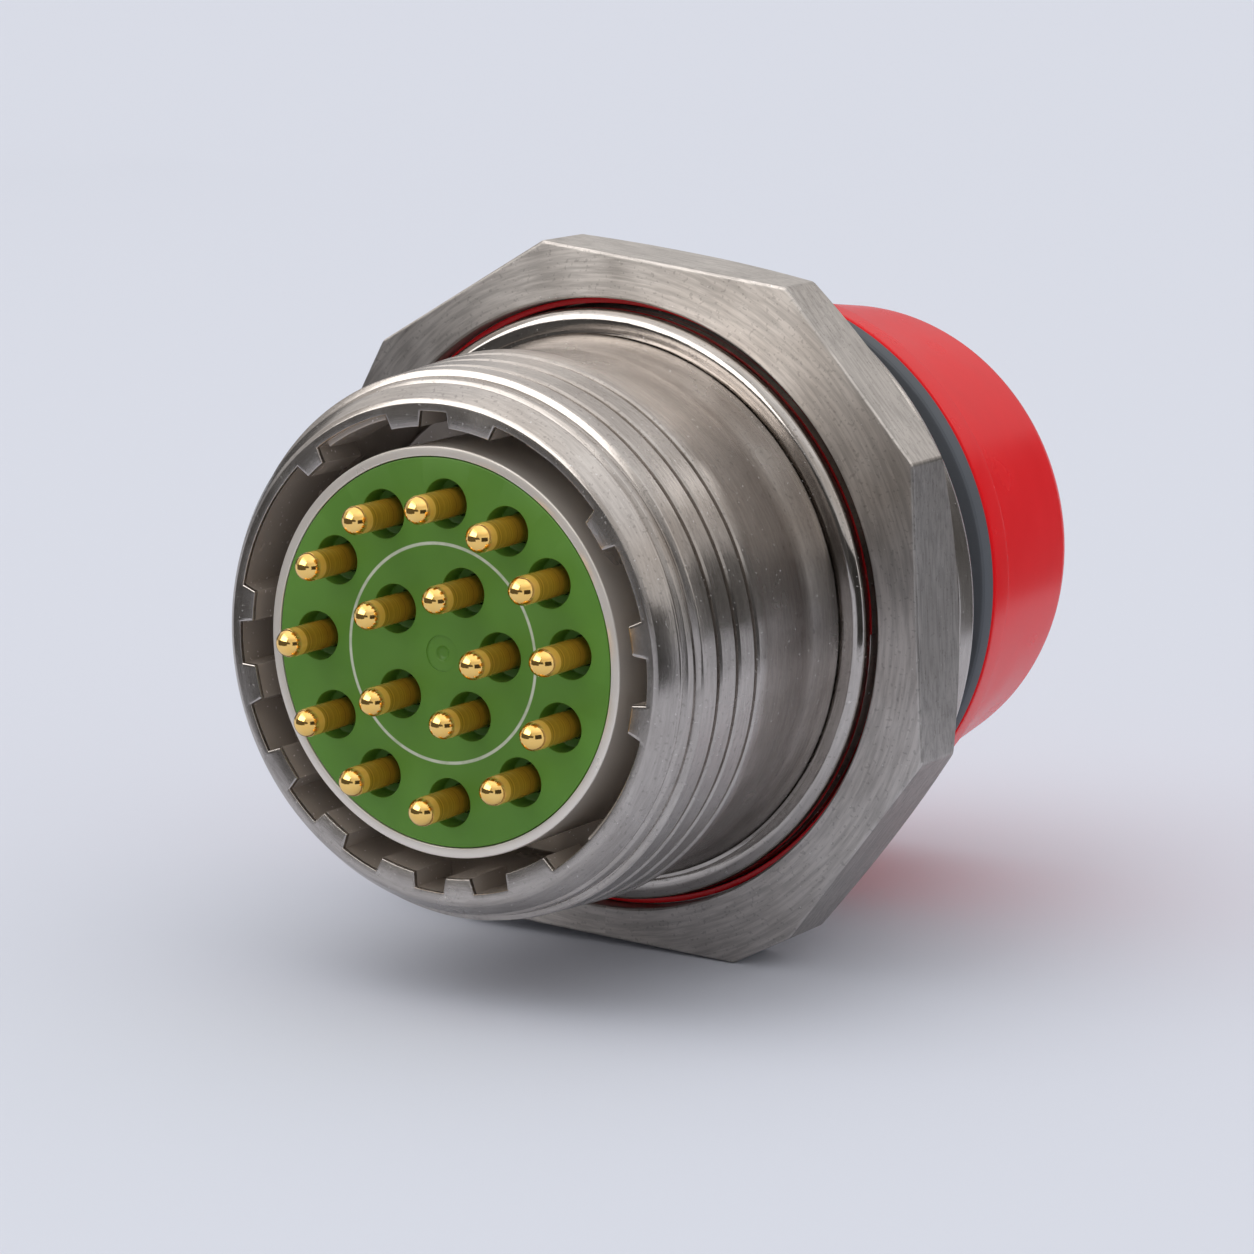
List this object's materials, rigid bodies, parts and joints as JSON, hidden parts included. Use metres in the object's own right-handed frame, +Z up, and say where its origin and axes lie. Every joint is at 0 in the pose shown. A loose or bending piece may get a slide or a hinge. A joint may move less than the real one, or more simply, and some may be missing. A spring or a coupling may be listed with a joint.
{
  "type": "jam-nut receptacle",
  "caption": "Panel-mount receptacle: keyed threaded mating end with gold pins in a green insert, a jam nut that clamps a panel to its sealed flange, and a red rear cap.",
  "frame": {"origin": "on the connector axis, in the plane of the flange's front face, where the panel seats", "axes": "-Y along the axis towards the mating front, +Z up through the master key side"},
  "size_m": [0.0409, 0.0513, 0.0402],
  "materials": {
    "shell_steel": "passivated stainless, turned and satin",
    "nut_steel": "passivated stainless, faced with fine turning marks",
    "sleeve_steel": "turned stainless, satin",
    "spring_steel": "spring steel, bright",
    "spring_copper": "beryllium copper, bright",
    "contact_gold": "copper alloy with polished gold plate",
    "green_insert": "moulded green insulator, semi-matte",
    "grey_disc": "moulded hard insulator, matte",
    "grommet_rubber": "moulded silicone rubber, matte",
    "seal_rubber": "dark grey moulded rubber",
    "red_band": "red plastic ring, glossy",
    "red_cap": "red moulded plastic, glossy"
  },
  "bodies": {
    "shell_body": {"shell": "shell_steel", "panel_seal": "seal_rubber", "insert_sleeve": "sleeve_steel", "front_insert": "green_insert", "retention_disc": "grey_disc", "retention_clips": "spring_copper", "rear_grommet": "grommet_rubber", "retaining_ring": "spring_steel", "rear_seal_ring": "seal_rubber", "contact_01": "contact_gold", "contact_02": "contact_gold", "contact_03": "contact_gold", "contact_04": "contact_gold", "contact_05": "contact_gold", "contact_06": "contact_gold", "contact_07": "contact_gold", "contact_08": "contact_gold", "contact_09": "contact_gold", "contact_10": "contact_gold", "contact_11": "contact_gold", "contact_12": "contact_gold", "contact_13": "contact_gold", "contact_14": "contact_gold", "contact_15": "contact_gold", "contact_16": "contact_gold", "contact_17": "contact_gold"},
    "nut_carriage": {"band_ring": "red_band"},
    "nut_body": {"jam_nut": "nut_steel"},
    "cap_body": {"dust_cap": "red_cap"}
  },
  "joints": [
    {"name": "nut_advance", "type": "slide", "parent": "shell_body", "child": "nut_carriage", "axis": [0, 1, 0], "range_m": [-0.003, 0.0015]},
    {"name": "nut_turn", "type": "hinge", "parent": "nut_carriage", "child": "nut_body", "pos_m": [0, -0.00435, 0], "axis": [0, 1, 0], "range_deg": [-1080, 540]},
    {"name": "cap_pull", "type": "slide", "parent": "shell_body", "child": "cap_body", "axis": [0, 1, 0], "range_m": [0, 0.02]}
  ],
  "couplings": [
    {"joint": "nut_advance", "follows": "nut_turn", "m_per_rad": 0.00015915}
  ]
}
